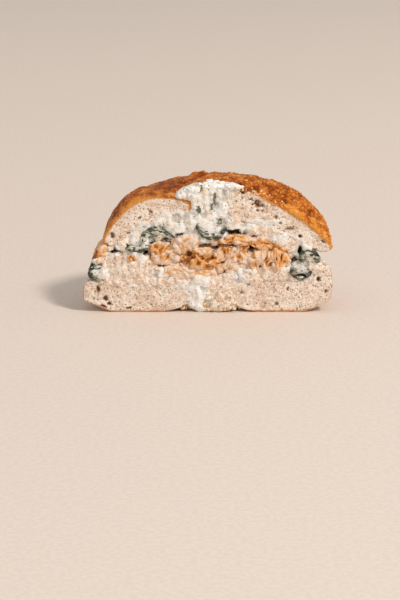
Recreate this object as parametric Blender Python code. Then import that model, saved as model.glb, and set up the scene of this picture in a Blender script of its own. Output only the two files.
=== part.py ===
"""Cut half of a filled bagel sandwich, standing on its underside.

Metres, +Z up. The cut face looks along -Y and the round side lies towards +Y.
The bagel's hole is at the middle of the cut face. Sizes that change round the
hole are given as three values: at the right of the cut, at the back, at the left.
"""

import math

import bmesh
import bpy
from mathutils import Vector, noise

# Driving sizes of the whole.
BACK_DEPTH = 0.0570  # from the cut face to the back of the lower bagel half
CLEARANCE = 0.00035  # air between pieces that touch
RINGWISE_STEPS = 30  # sections round the hole, from the right of the cut to the left
SECTION_POINTS = 32  # points round the section of a bagel half
SHARP_ANGLE = 40  # degrees between faces at which an edge looks sharp

# Upper bagel half: an arched crown over a sloping, sliced underside.
TOP_INNER = (0.0090, 0.0090, 0.0060)
TOP_OUTER = (0.0577, 0.0535, 0.0478)
TOP_POWER = (3.2, 2.8, 2.6)  # how square the section is
CROWN_HEIGHT = (0.0608, 0.0614, 0.0580)
CROWN_FALL = (0.0162, 0.0170, 0.0120)  # from the crown's top to the rim
CROWN_POWER = (3.1, 3.4, 5.0)
CROWN_SAG = (-0.0220, 0.0200, 0.0018)  # left of the hole the crown sinks: middle, width, depth
CUT_HEIGHT = (0.0608, 0.0614, 0.0553)  # the same three where the knife pressed the edge down
CUT_FALL = (0.0272, 0.0230, 0.0160)
CUT_POWER = (1.46, 2.0, 3.6)
CUT_REACH = 0.0085  # how far behind the cut the pressed edge rises again
UNDERSIDE_HEIGHT = (0.0428, 0.0440, 0.0470)
UNDERSIDE_DROP = (0.0200, 0.0190, 0.0235)
UNDERSIDE_POWER = 2.1
UNDERSIDE_LEVEL_FROM = 0.88  # share of the way to the rim from which it runs level

# Lower bagel half: a flat sole, a level floor and a raised outer lip.
BASE_INNER = (0.0115, 0.0090, 0.0062)
BASE_OUTER = (0.0578, BACK_DEPTH, 0.0574)
BASE_POWER = (3.6, 2.8, 2.5)
FLOOR_HEIGHT = (0.0158, 0.0148, 0.0136)
LIP_RISE = (0.0115, 0.0058, 0.0022)
LIP_START = 0.76  # share of the way from the hole to the rim
SOLE_ARCH = 0.0020  # the sole lifts by this much at the hole
SOLE_FLAT = 0.0004  # the round underside is pressed flat by this much

# Crust: soft lumps, and bubbles given by x, y behind the cut, height and radius.
CRUST_LUMP = 0.0007
CRUST_LUMP_SIZE = 0.014
CRUST_STARTS = (0.05, 0.30)  # shares of the way from the hole over which the lumps fade in
RIM_CRUST = (0.9, 0.002, 0.6)  # the lower crust: least share, least height, share of the floor
NOISE_SEED = Vector((3.1, 7.4, 1.9))
BLISTERS = (
    (-0.0030, 0.0265, 0.0030, 0.0055),
    (-0.0125, 0.0240, 0.0012, 0.0050),
    (0.0120, 0.0290, 0.0012, 0.0050),
    (0.0300, 0.0240, 0.0012, 0.0045),
    (-0.0330, 0.0200, 0.0008, 0.0055),
)

# Soft cheese under the upper half, with a plug that fills the hole, and over the lower half.
PLUG_TOP = 0.0598
PLUG_CAP = (0.0138, 0.0105, 0.0128)
PLUG_CAP_EDGE = 0.0012
PLUG_CAP_PROFILE = ((0.40, 0.0), (0.70, 0.25), (0.90, 0.65), (1.0, 1.0))  # radius, fall
PLUG_BOTTOM = 0.0026
PLUG_FOOT = 0.55  # the plug's flat foot, as a share of the hole
UPPER_WALL_END = 265  # degrees round the section at which the cheese leaves the hole's wall
LOWER_WALL = (95, 205)  # degrees round the lower section that the cheese lies against
WALL_POINTS = 9
UNDER_STEPS = 6  # facets along the sliced underside
UPPER_CHEESE_REACH = (0.0485, 0.0485, 0.0448)
LOWER_CHEESE_REACH = (0.0505, 0.0510, 0.0515)  # further out than the upper layer
CHEESE_BULGE = 0.0013
LAYER_STEPS = 8  # facets from the hole's middle to the layers' rim

# Filling between the two layers of cheese, as shares of the room between the bagel halves.
FILLING_MIDDLE = (0.50, 0.48, 0.46)
FILLING_MIDDLE_AT_HOLE = 0.325
FILLING_HALF = (0.365, 0.33, 0.275)
FILLING_HALF_AT_HOLE = 0.295
FILLING_RISE = (0.0, 0.0, 0.38)  # how much the middle rises towards the rim
FILLING_RISE_FROM = 0.020
FILLING_RISE_OVER = 0.022
FILLING_EDGE = (0.0420, 0.0560, 0.0310)  # where the two layers of cheese meet
FILLING_REACH = (0.0396, 0.0500, 0.0290)  # where the sliced meat ends
HOLE_BLEND = 0.016  # inside this radius the sizes even out to their value at the hole

# Sliced meat: name, centre x and z, half width and half height at the cut, tilt in degrees,
# how far the cut end stands proud, and the length if it stops short of the rim.
MEAT = (
    ("meat_top_left", -0.0101, 0.0322, 0.0051, 0.0034, 10, 0.0008, None),
    ("meat_top_middle", 0.0134, 0.0339, 0.0080, 0.0020, 2, 0.0012, None),
    ("meat_top_right", 0.0298, 0.0316, 0.0073, 0.0027, -17, 0.0004, None),
    ("meat_left", -0.0206, 0.0282, 0.0050, 0.0042, 6, 0.0006, None),
    ("meat_middle_left", -0.0034, 0.0252, 0.0080, 0.0036, -3, 0.0010, None),
    ("meat_middle_right", 0.0120, 0.0260, 0.0070, 0.0050, -5, 0.0002, None),
    ("meat_right", 0.0286, 0.0243, 0.0089, 0.0042, 2, 0.0009, None),
    ("meat_bottom", -0.0080, 0.0188, 0.0140, 0.0019, -4, 0.0003, 0.034),
    ("meat_left_bit", -0.0347, 0.0256, 0.0020, 0.0018, -20, 0.0006, 0.010),
    ("meat_left_rim", -0.0503, 0.0279, 0.0019, 0.0039, 12, 0.0008, 0.012),
)
CARVED_MEAT = ("meat_left_bit", "meat_left_rim", "meat_bottom")  # pressed into the cheese
MEAT_CLEARANCE = 0.0010  # air kept above and below the sliced meat
MEAT_POINTS = 12
MEAT_POWER = 2.7
MEAT_STEPS = 8
MEAT_UNEVEN = 0.12  # share by which a slice's outline wanders inwards
MEAT_END = 0.93  # a slice's end against its middle

# Pepper slices: name, arc centre x and z, arc radius, thickness, first and last angle in
# degrees, cut end's place, length from front to back, and turn of the back end.
PEPPERS = (
    ("pepper_left_arch", -0.0232, 0.0318, 0.0072, 0.0030, 32, 152, -0.0010, 0.022, -0.001),
    ("pepper_left_leaf", -0.0318, 0.0384, 0.0082, 0.0030, 234, 296, -0.0008, 0.018, -0.001),
    ("pepper_middle_bowl", 0.0022, 0.0418, 0.0062, 0.0024, 192, 342, -0.0012, 0.014, 0.000),
    ("pepper_right_arch", 0.0472, 0.0252, 0.0034, 0.0025, -12, 186, -0.0012, 0.013, -0.001),
    ("pepper_right_fold", 0.0434, 0.0228, 0.0050, 0.0034, 215, 325, -0.0010, 0.013, -0.002),
    ("pepper_left_rim", -0.0518, 0.0192, 0.0031, 0.0030, 60, 300, -0.0006, 0.012, 0.002),
)
PEPPER_ARC_POINTS = 8
PEPPER_STEPS = 5
PEPPER_TIP = 14  # degrees by which the rounded edge runs past the arc
PEPPER_THINNING = 0.35  # how much thinner the strip is at its back end

COLOURS = {  # red, green, blue, roughness
    "crust": (0.42, 0.16, 0.04, 0.40),
    "crumb": (0.74, 0.62, 0.46, 0.85),
    "cheese": (0.84, 0.82, 0.74, 0.45),
    "meat": (0.66, 0.36, 0.18, 0.50),
    "pepper": (0.13, 0.16, 0.09, 0.35),
}


def smooth(value):
    """An even S from 0 to 1, flat on both sides."""
    value = min(max(value, 0.0), 1.0)
    return value * value * (3 - 2 * value)


def around(sizes, angle):
    """A size at an angle round the hole, from its values at right, back and left."""
    right, back, left = sizes
    side = right if math.cos(angle) > 0 else left
    return back + (side - back) * math.cos(angle) ** 2


def spread(sizes, radius, angle, at_hole=None):
    """As around, but evened out towards one value at the hole's middle."""
    middle = sizes[1] if at_hole is None else at_hole
    return middle + (around(sizes, angle) - middle) * smooth(radius / HOLE_BLEND)


def ring_share(radius, angle, inner, outer):
    """0 at the hole's wall and 1 at the rim."""
    start = around(inner, angle)
    return min(max((radius - start) / (around(outer, angle) - start), 0.0), 1.0)


def ceiling(radius, angle):
    """Height of the upper half's sliced underside."""
    share = min(ring_share(radius, angle, TOP_INNER, TOP_OUTER), UNDERSIDE_LEVEL_FROM)
    level = spread(UNDERSIDE_HEIGHT, radius, angle)
    return level - around(UNDERSIDE_DROP, angle) * share**UNDERSIDE_POWER


def falling(heights, falls, powers, share, angle):
    """A height that falls away towards the rim."""
    return around(heights, angle) - around(falls, angle) * share ** around(powers, angle)


def crown(radius, angle):
    """Height of the upper half's crust, lower where the knife pressed it."""
    share = ring_share(radius, angle, TOP_INNER, TOP_OUTER)
    free = falling(CROWN_HEIGHT, CROWN_FALL, CROWN_POWER, share, angle)
    middle, width, depth = CROWN_SAG
    free -= depth * math.exp(-(((radius * math.cos(angle) - middle) / width) ** 2))
    cut = falling(CUT_HEIGHT, CUT_FALL, CUT_POWER, share, angle)
    pressed = math.exp(-((radius * math.sin(angle) / CUT_REACH) ** 2))
    return free + (cut - free) * pressed


def floor(radius, angle):
    """Height of the lower half's sliced top, up to its lip."""
    share = ring_share(radius, angle, BASE_INNER, BASE_OUTER)
    lip = around(LIP_RISE, angle) * smooth((share - LIP_START) / (1 - LIP_START))
    return spread(FLOOR_HEIGHT, radius, angle) + lip


def sole(radius, angle):
    """Height of the underside, which lifts a little round the hole."""
    share = ring_share(radius, angle, BASE_INNER, BASE_OUTER)
    return SOLE_ARCH * max(0.0, 1 - 3 * share) ** 2


def filling_level(radius, angle, side):
    """Height of the meat's upper face (side 1) or lower face (side -1)."""
    middle = spread(FILLING_MIDDLE, radius, angle, FILLING_MIDDLE_AT_HOLE)
    rise = smooth((radius - FILLING_RISE_FROM) / FILLING_RISE_OVER)
    middle += around(FILLING_RISE, angle) * rise
    half = spread(FILLING_HALF, radius, angle, FILLING_HALF_AT_HOLE)
    out = min(radius / around(FILLING_EDGE, angle), 1.0)
    share = middle + side * half * math.sqrt(1 - out**4)
    low = floor(radius, angle) + CLEARANCE
    high = ceiling(radius, angle) - CLEARANCE
    return low + (high - low) * share


def levels(radius, angle):
    """The four heights that bound the food: floor, meat's lower and upper face, ceiling."""
    return (
        floor(radius, angle),
        filling_level(radius, angle, -1),
        filling_level(radius, angle, 1),
        ceiling(radius, angle),
    )


def carry_back(x, y, z):
    """Moves a point of the cut face back by y, keeping its place between the four heights."""
    here = levels(abs(x), 0.0 if x > 0 else math.pi)
    there = levels(math.hypot(x, y), math.atan2(y, x))
    for i in range(3):
        if z <= here[i + 1] and here[i + 1] > here[i]:
            share = (z - here[i]) / (here[i + 1] - here[i])
            return Vector((x, y, there[i] + (there[i + 1] - there[i]) * share))
    return Vector((x, y, there[3] + z - here[3]))


def rounded_point(turn, power):
    """A point of a rounded square of half width 1, at a turn in radians."""
    across, up = math.cos(turn), math.sin(turn)
    return (
        math.copysign(abs(across) ** (2 / power), across),
        math.copysign(abs(up) ** (2 / power), up),
    )


def section_point(angle, turn, inner, outer, powers, low, high, grow=0.0):
    """A point (radius, height) on a bagel half's section, or a little outside it."""
    near, far = around(inner, angle), around(outer, angle)
    across, up = rounded_point(turn, around(powers, angle))
    radius = (near + far) / 2 + ((far - near) / 2 + grow) * across
    bottom, top = low(radius, angle), high(radius, angle)
    return radius, (bottom + top) / 2 + ((top - bottom) / 2 + grow) * up


def top_point(angle, turn, grow=0.0):
    """A point on the upper half's section; turns run from the rim over the crown."""
    return section_point(angle, turn, TOP_INNER, TOP_OUTER, TOP_POWER, ceiling, crown, grow)


def base_point(angle, turn, grow=0.0):
    """A point on the lower half's section, with its sole pressed flat."""
    radius, height = section_point(
        angle, turn, BASE_INNER, BASE_OUTER, BASE_POWER, sole, floor, grow
    )
    return radius, max(height - SOLE_FLAT, 0.0)


def crust_turn(angle, radius):
    """The turn, in degrees, at which the upper half's inner shoulder has this radius."""
    near, far = around(TOP_INNER, angle), around(TOP_OUTER, angle)
    across = ((near + far) / 2 - radius) / ((far - near) / 2 + CLEARANCE)
    return 180 - math.degrees(math.acos(across ** (around(TOP_POWER, angle) / 2)))


def turns(first, last, count):
    """Evenly spaced turns in radians, from angles in degrees, both ends included."""
    step = (last - first) / (count - 1)
    return [math.radians(first + step * i) for i in range(count)]


def place(radius, angle, height):
    """A point from its radius and angle round the hole, and its height."""
    return Vector((radius * math.cos(angle), radius * math.sin(angle), height))


def mesh_object(name, bm, material, collection):
    """Finishes a mesh, in plain triangles, as one named object with its material."""
    bmesh.ops.recalc_face_normals(bm, faces=bm.faces)
    bmesh.ops.triangulate(bm, faces=bm.faces, ngon_method="EAR_CLIP")
    mesh = bpy.data.meshes.new(name)
    bm.to_mesh(mesh)
    bm.free()
    mesh.shade_smooth()
    mesh.set_sharp_from_angle(angle=math.radians(SHARP_ANGLE))
    mesh.materials.append(material)
    item = bpy.data.objects.new(name, mesh)
    collection.objects.link(item)
    return item


def loft(loops, poles=()):
    """Skins a row of closed loops. With two poles, each row is open and runs pole to pole."""
    bm = bmesh.new()
    rows = [[bm.verts.new(point) for point in loop] for loop in loops]
    ends = [bm.verts.new(point) for point in poles]
    count = len(rows[0])
    for row, following in zip(rows, rows[1:]):
        for i in range(count if not ends else count - 1):
            j = (i + 1) % count
            bm.faces.new((row[i], row[j], following[j], following[i]))
        if ends:
            bm.faces.new((ends[0], row[0], following[0]))
            bm.faces.new((following[-1], row[-1], ends[1]))
    if ends:
        bm.faces.new([ends[0], *rows[0], ends[1], *reversed(rows[-1])])
    else:
        bm.faces.new(rows[0])
        bm.faces.new(rows[-1])
    return bm


def ring_angles():
    """The angles of the sections, from the right of the cut to the left."""
    return turns(0, 180, RINGWISE_STEPS + 1)


def crust_lumps(bm, crust_share):
    """Moves the crust in and out by soft noise, and raises its blisters."""
    bm.normal_update()
    for vert in bm.verts:
        where = vert.co.copy()
        share = crust_share(math.hypot(where.x, where.y), math.atan2(where.y, where.x), where.z)
        if share <= 0:
            continue
        lump = noise.noise((where + NOISE_SEED) / CRUST_LUMP_SIZE) * CRUST_LUMP * share
        inside = smooth(where.y / CUT_REACH)
        vert.co += Vector((vert.normal.x, vert.normal.y * inside, vert.normal.z)) * lump
        if vert.normal.z < 0.3:
            continue
        for x, y, height, radius in BLISTERS:
            apart = math.hypot(where.x - x, where.y - y) / radius
            vert.co.z += share * height * math.exp(-(apart**2))


def crown_share(radius, angle, height):
    """1 on the upper half's crust, 0 on its sliced side and at the hole."""
    middle = (ceiling(radius, angle) + crown(radius, angle)) / 2
    if height < middle:
        return 0.0
    first, last = CRUST_STARTS
    return smooth((ring_share(radius, angle, TOP_INNER, TOP_OUTER) - first) / (last - first))


def rim_share(radius, angle, height):
    """1 on the lower half's crust between its sole and its lip, 0 elsewhere."""
    least_share, least_height, floor_share = RIM_CRUST
    out = ring_share(radius, angle, BASE_INNER, BASE_OUTER) > least_share
    return float(out and least_height < height < floor_share * floor(radius, angle))


def bagel_half(name, point, crust_share, material, collection):
    """Sweeps a section round the hole, half a turn, and gives it its crust."""
    loops = []
    for angle in ring_angles():
        points = [point(angle, turn) for turn in turns(0, 360, SECTION_POINTS + 1)[:-1]]
        loops.append([place(radius, angle, height) for radius, height in points])
    bm = loft(loops)
    crust_lumps(bm, crust_share)
    return mesh_object(name, bm, material, collection)


def layer_radii(angle):
    """Radii shared by both layers of cheese, so that their facets lie over each other."""
    reach = around(UPPER_CHEESE_REACH, angle)
    return [reach * i / LAYER_STEPS for i in range(1, LAYER_STEPS + 1)]


def upper_cheese(material, collection):
    """Fills the upper half's hole and spreads under it, down to the meat."""
    top, bottom = PLUG_TOP, filling_level(0, 0, 1) + CLEARANCE
    loops = []
    for angle in ring_angles():
        cap = around(PLUG_CAP, angle)
        around_wall = turns(crust_turn(angle, cap - PLUG_CAP_EDGE / 2), UPPER_WALL_END, WALL_POINTS)
        wall = [top_point(angle, turn, CLEARANCE) for turn in around_wall]
        fall = top - wall[0][1] - PLUG_CAP_EDGE
        profile = [(out * cap, top - fall * down) for out, down in PLUG_CAP_PROFILE]
        profile += wall
        reach = around(UPPER_CHEESE_REACH, angle)
        first = wall[-1][0]
        for i in range(1, UNDER_STEPS + 1):
            radius = first + (reach - first) * i / UNDER_STEPS
            profile.append((radius, ceiling(radius, angle) - CLEARANCE))
        rim = (ceiling(reach, angle) + filling_level(reach, angle, 1)) / 2
        profile.append((reach + CHEESE_BULGE, rim))
        for radius in reversed(layer_radii(angle)):
            profile.append((radius, filling_level(radius, angle, 1) + CLEARANCE))
        loops.append([place(radius, angle, height) for radius, height in profile])
    bm = loft(loops, (Vector((0, 0, top)), Vector((0, 0, bottom))))
    return mesh_object("cheese_upper", bm, material, collection)


def lower_cheese(material, collection):
    """Lies on the lower half, up to the meat, with a plug down into the hole."""
    top, bottom = filling_level(0, 0, -1) - CLEARANCE, PLUG_BOTTOM
    loops = []
    for angle in ring_angles():
        reach = around(LOWER_CHEESE_REACH, angle)
        profile = []
        for radius in layer_radii(angle) + [reach]:
            profile.append((radius, filling_level(radius, angle, -1) - CLEARANCE))
        rim = (floor(reach, angle) + filling_level(reach, angle, -1)) / 2
        profile.append((reach + CHEESE_BULGE, rim))
        wall = [base_point(angle, turn, CLEARANCE) for turn in turns(*LOWER_WALL, WALL_POINTS)]
        last = wall[0][0]
        for i in range(UNDER_STEPS):
            radius = reach + (last - reach) * i / UNDER_STEPS
            profile.append((radius, floor(radius, angle) + CLEARANCE))
        profile += wall
        profile.append((PLUG_FOOT * wall[-1][0], bottom))
        loops.append([place(radius, angle, height) for radius, height in profile])
    bm = loft(loops, (Vector((0, 0, top)), Vector((0, 0, bottom))))
    return mesh_object("cheese_lower", bm, material, collection)


def meat_loops(row):
    """Sections of one slice: a rounded bar from the cut face back towards the rim."""
    _, centre_x, centre_z, half_width, half_height, tilt, proud, length = row
    lean = math.radians(tilt)
    loops = []
    for step in range(MEAT_STEPS + 1):
        along = step / MEAT_STEPS
        loop = []
        for turn in turns(0, 360, MEAT_POINTS + 1)[:-1]:
            across, up = rounded_point(turn, MEAT_POWER)
            wander = noise.noise(Vector((centre_x * 300 + across, up, along * 3))) + 0.5
            size = 1 - MEAT_UNEVEN * min(max(wander, 0), 1)
            if step in (0, MEAT_STEPS):
                size *= MEAT_END
            across, up = half_width * size * across, half_height * size * up
            x = centre_x + across * math.cos(lean) - up * math.sin(lean)
            z = centre_z + across * math.sin(lean) + up * math.cos(lean)
            if length:
                end = length
            else:
                side = FILLING_REACH[0] if x > 0 else FILLING_REACH[2]
                end = FILLING_REACH[1] * math.sqrt(max(1 - (x / side) ** 2, 0.05))
                z = within_filling(x, z)
            y = (end + proud) * along - proud
            loop.append(carry_back(x, y, z))
        loops.append(loop)
    return loops


def within_filling(x, z):
    """A height at the cut face kept between the two layers of cheese."""
    front = abs(x), 0.0 if x > 0 else math.pi
    low, high = filling_level(*front, -1), filling_level(*front, 1)
    return min(max(z, low + MEAT_CLEARANCE), high - MEAT_CLEARANCE)


def pepper_loops(row):
    """Sections of a bent strip, from its cut end to its back end."""
    _, centre_x, centre_z, bend, thick, first, last, front, length, turn_back = row
    loops = []
    for step in range(PEPPER_STEPS + 1):
        along = step / PEPPER_STEPS
        half = thick / 2 * (1 - PEPPER_THINNING * along**2)
        there = turns(first, last, PEPPER_ARC_POINTS)
        y = front + length * along
        outline = [(bend + half, turn) for turn in there]
        outline.append((bend, there[-1] + math.radians(PEPPER_TIP)))
        outline += [(bend - half, turn) for turn in reversed(there)]
        outline.append((bend, there[0] - math.radians(PEPPER_TIP)))
        loop = []
        for out, turn in outline:
            x = centre_x + turn_back * along + out * math.cos(turn)
            loop.append(carry_back(x, y, centre_z + out * math.sin(turn)))
        loops.append(loop)
    return loops


def carve(target, pieces, cutters, material):
    """Presses pieces, given as name and sections, into a layer of cheese."""
    for name, loops in pieces:
        room = loft(loops)
        bmesh.ops.recalc_face_normals(room, faces=room.faces)
        room.normal_update()
        for vert in room.verts:
            vert.co += vert.normal * vert.calc_shell_factor() * CLEARANCE
        tool = mesh_object(f"{name}_room", room, material, cutters)
        tool.hide_render = True
        tool.display_type = "WIRE"
        cut = target.modifiers.new(name, "BOOLEAN")
        cut.operation = "DIFFERENCE"
        cut.solver = "EXACT"
        cut.object = tool


def finish(name):
    """A Principled material with this finish's colour and roughness."""
    red, green, blue, roughness = COLOURS[name]
    material = bpy.data.materials.new(name)
    material.use_nodes = True
    shader = material.node_tree.nodes["Principled BSDF"]
    shader.inputs["Base Color"].default_value = (red, green, blue, 1)
    shader.inputs["Roughness"].default_value = roughness
    shader.inputs["Metallic"].default_value = 0
    material.diffuse_color = (red, green, blue, 1)
    return material


def main():
    for item in list(bpy.data.objects):
        bpy.data.objects.remove(item)
    sandwich = bpy.data.collections.new("bagel_sandwich_half")
    cutters = bpy.data.collections.new("cutters")
    for collection in (sandwich, cutters):
        bpy.context.scene.collection.children.link(collection)
    finishes = {name: finish(name) for name in COLOURS}

    bagel_half("bagel_top", top_point, crown_share, finishes["crust"], sandwich)
    bagel_half("bagel_base", base_point, rim_share, finishes["crumb"], sandwich)
    layers = [
        upper_cheese(finishes["cheese"], sandwich),
        lower_cheese(finishes["cheese"], sandwich),
    ]
    for row in MEAT:
        mesh_object(row[0], loft(meat_loops(row)), finishes["meat"], sandwich)
    for row in PEPPERS:
        mesh_object(row[0], loft(pepper_loops(row)), finishes["pepper"], sandwich)
    pieces = [(row[0], pepper_loops(row)) for row in PEPPERS]
    pieces += [(row[0], meat_loops(row)) for row in MEAT if row[0] in CARVED_MEAT]
    for layer in layers:
        carve(layer, pieces, cutters, finishes["pepper"])

    middle = bpy.data.objects.new("middle_of_the_sole", None)
    sandwich.objects.link(middle)
    middle.location = (0, -BACK_DEPTH / 2, 0)
    for item in (*sandwich.objects, *cutters.objects):
        if item is not middle:
            item.parent = middle


main()
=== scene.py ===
import math
import random

import bmesh
import bpy
from mathutils import Euler, Matrix, Vector, noise
from mathutils.bvhtree import BVHTree


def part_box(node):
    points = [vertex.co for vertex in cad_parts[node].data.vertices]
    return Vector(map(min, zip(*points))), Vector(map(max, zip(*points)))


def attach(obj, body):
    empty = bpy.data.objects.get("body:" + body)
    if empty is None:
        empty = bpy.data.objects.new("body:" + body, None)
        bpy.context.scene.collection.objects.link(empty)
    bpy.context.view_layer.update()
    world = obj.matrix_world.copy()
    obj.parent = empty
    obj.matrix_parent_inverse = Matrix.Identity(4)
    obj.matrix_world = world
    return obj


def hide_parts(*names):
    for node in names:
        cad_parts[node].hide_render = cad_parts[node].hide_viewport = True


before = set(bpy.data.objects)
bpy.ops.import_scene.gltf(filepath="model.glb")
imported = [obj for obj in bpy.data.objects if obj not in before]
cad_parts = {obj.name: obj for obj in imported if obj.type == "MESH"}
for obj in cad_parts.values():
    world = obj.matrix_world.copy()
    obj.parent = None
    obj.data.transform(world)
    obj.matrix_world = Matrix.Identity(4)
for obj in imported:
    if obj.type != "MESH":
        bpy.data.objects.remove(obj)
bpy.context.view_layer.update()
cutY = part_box("bagel_base")[0].y * 1000  # the plane of the knife's cut; sizes here are in mm
chance = random.Random(11)


# Small helpers for shapes. Sizes are in mm until a piece is finished.

def ease(value, low, high):  # from 0 at low to 1 at high, with soft ends
    share = min(max((value - low) / (high - low), 0.0), 1.0)
    return share * share * (3 - 2 * share)


def wave(q, size, shift=0.0):
    return noise.noise(Vector((q.x / size + shift, q.y / size - shift, q.z / size + 2 * shift)))


def waves(q, layers):  # waves of each height, size and shift on top of each other
    return sum(height * wave(q, size, shift) for height, size, shift in layers)


def stretched(q, sizes, shift=0.0):  # noise that is longer one way than another
    return noise.noise(Vector((q.x / sizes[0] + shift, q.y / sizes[1], q.z / sizes[2] - shift)))


def hollow(q, size, share, shift):  # 0 to 1 inside round holes, in that share of the cells
    gaps, centres = noise.voronoi(q / size + Vector((shift, shift, shift)))
    pick = noise.cell(centres[0] * 5.7)
    if pick > share * 2 - 1:
        return 0.0
    radius = 0.30 + 0.16 * noise.cell(centres[0] * 3.1)
    return ease(radius - gaps[0], 0.0, radius * 0.6)


def bead(q, size, shift):  # rounded grains that meet in creases, 0 to 1
    gaps, _ = noise.voronoi(q / size + Vector((shift, -shift, shift)))
    return ease(gaps[1] - gaps[0], 0.0, 0.5)


def spot(q, places):  # strength at q of the strongest (x, z, half width, half height, strength)
    x, z = q.x + 0.6 * wave(q, 2.1, 3), q.z + 0.6 * wave(q, 1.9, 6)
    best = 0.0
    for middleX, middleZ, across, up, strength in places:
        gap = math.hypot((x - middleX) / across, (z - middleZ) / up)
        best = max(best, strength * ease(1.3 - gap, 0.0, 0.7))
    return best


def onCut(q, n, deep, fade, turned):  # 1 on the cut face, 0 behind it and round its edge
    return ease(cutY + deep - q.y, 0.0, fade) * ease(-n.y, turned, 0.8)


def besideCut(q, n):  # 1 on the walls that end at the cut face
    return ease(cutY + 2.5 - q.y, 0.0, 1.5) * (1 - ease(-n.y, 0.5, 0.95))


def looseCopy(*nodes):  # the CAD nodes' meshes with their corners joined, in mm
    bm = bmesh.new()
    for node in nodes:
        bm.from_mesh(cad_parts[node].data)
    bmesh.ops.remove_doubles(bm, verts=bm.verts, dist=1e-6)
    bmesh.ops.scale(bm, verts=bm.verts, vec=(1000, 1000, 1000))
    bm.normal_update()
    return bm


def newPiece(name, bm):
    mesh = bpy.data.meshes.new(name)
    bm.to_mesh(mesh)
    bm.free()
    item = bpy.data.objects.new(name, mesh)
    bpy.context.scene.collection.objects.link(item)
    return item


def grain(item, voxel, rounds):  # an even fine mesh over the whole piece, softened a little
    remesh = item.modifiers.new("grain", "REMESH")
    remesh.mode = "VOXEL"
    remesh.voxel_size = voxel
    calm = item.modifiers.new("calm", "SMOOTH")
    calm.factor = 0.5
    calm.iterations = rounds
    ready = item.evaluated_get(bpy.context.evaluated_depsgraph_get())
    fine = bpy.data.meshes.new_from_object(ready)
    item.modifiers.clear()
    item.data = fine
    return item


def treeOf(bm, keep=lambda face: True):
    part = bm.copy()
    part.normal_update()
    bmesh.ops.delete(part, geom=[face for face in part.faces if not keep(face)], context="FACES")
    tree = BVHTree.FromBMesh(part)
    part.free()
    return tree


def apart(tree, q):
    return tree.find_nearest(q)[3]


def sculpt(item, names, move):  # move(point, normal) gives a shift and one mark for each name
    mesh = item.data
    normals = [each.vector.copy() for each in mesh.vertex_normals]
    places, marks = [], [[] for _ in names]
    for vert, normal in zip(mesh.vertices, normals):
        shift, *values = move(vert.co, normal)
        places.extend(vert.co + shift)
        for held, value in zip(marks, values):
            held.append(value)
    mesh.vertices.foreach_set("co", places)
    for name, held in zip(names, marks):
        mesh.attributes.new(name, "FLOAT", "POINT").data.foreach_set("value", held)
    mesh.update()


def finishPiece(item, finish, slot, *nodes):
    item.data.transform(Matrix.Scale(0.001, 4))
    item.data.materials.clear()
    item.data.materials.append(finish.material)
    item.data.shade_smooth()
    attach(item, "root")
    if nodes:
        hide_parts(*nodes)
    print(item.name, len(item.data.polygons), "faces")


# A shader value that takes plain arithmetic, and a material that holds such values.

class Paint:
    def __init__(self, finish, socket):
        self.finish, self.socket = finish, socket

    def maths(self, operation, first, second):
        return self.finish.add("ShaderNodeMath", {"operation": operation}, {0: first, 1: second})

    def __add__(self, other):
        return self.maths("ADD", self, other)

    def __sub__(self, other):
        return self.maths("SUBTRACT", self, other)

    def __rsub__(self, other):
        return self.maths("SUBTRACT", other, self)

    def __mul__(self, other):
        return self.maths("MULTIPLY", self, other)

    __radd__ = __add__
    __rmul__ = __mul__


class Finish:
    def __init__(self, name, plain):
        self.material = bpy.data.materials.new(name)
        self.material.use_nodes = True
        self.tree = self.material.node_tree
        self.shader = self.tree.nodes["Principled BSDF"]
        for socket, value in plain.items():
            self.shader.inputs[socket].default_value = value
        self.place = self.add("ShaderNodeTexCoord", {}, {}, "Object")

    def add(self, kind, settings, sockets, out=0):
        node = self.tree.nodes.new(kind)
        for key, value in settings.items():
            setattr(node, key, value)
        for key, value in sockets.items():
            self.plug(node.inputs[key], value)
        return Paint(self, node.outputs[out])

    def plug(self, socket, value):
        if isinstance(value, Paint):
            self.tree.links.new(value.socket, socket)
        elif socket.type == "RGBA":
            socket.default_value = (*value, 1.0)
        else:
            socket.default_value = value

    def give(self, **sockets):
        for key, value in sockets.items():
            self.plug(self.shader.inputs[key.replace("_", " ")], value)

    def mark(self, name):
        return self.add("ShaderNodeAttribute", {"attribute_name": name}, {}, "Fac")

    def moved(self, shift, stretch=(1, 1, 1)):  # the piece's own coordinates, moved, stretched
        sockets = {"Vector": self.place, "Location": shift, "Scale": stretch}
        return self.add("ShaderNodeMapping", {}, sockets)

    def clouds(self, size, detail, rough, shift=0.0, stretch=(1, 1, 1)):
        where = self.moved((shift, shift, -shift), stretch)
        sockets = {"Vector": where, "Scale": 1000 / size, "Detail": detail, "Roughness": rough}
        return self.add("ShaderNodeTexNoise", {}, sockets, "Fac")

    def cells(self, size, shift):
        sockets = {"Vector": self.moved((shift, -shift, shift)), "Scale": 1000 / size}
        return self.add("ShaderNodeTexVoronoi", {}, sockets, "Distance")

    def dots(self, cell, edge, patch, gather):  # soft round dots that gather in patches
        size, shift = patch
        patches = self.fade(self.clouds(size, 1, 0.5, shift), *gather)
        return self.fade(self.cells(*cell), *edge) * patches

    def fade(self, value, low, high, start=0.0, end=1.0):
        ends = {"From Min": low, "From Max": high, "To Min": start, "To Max": end}
        settings = {"interpolation_type": "SMOOTHSTEP"}
        return self.add("ShaderNodeMapRange", settings, {"Value": value, **ends})

    def mix(self, share, first, second):
        settings = {"data_type": "RGBA", "clamp_factor": True}
        sockets = {0: share, 6: first, 7: second}  # 6 and 7 are the node's two colours
        return self.add("ShaderNodeMix", settings, sockets, 2)

    def bump(self, height, distance, strength):  # distance in mm
        sockets = {"Height": height, "Distance": distance / 1000, "Strength": strength}
        return self.add("ShaderNodeBump", {}, sockets, "Normal")


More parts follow.
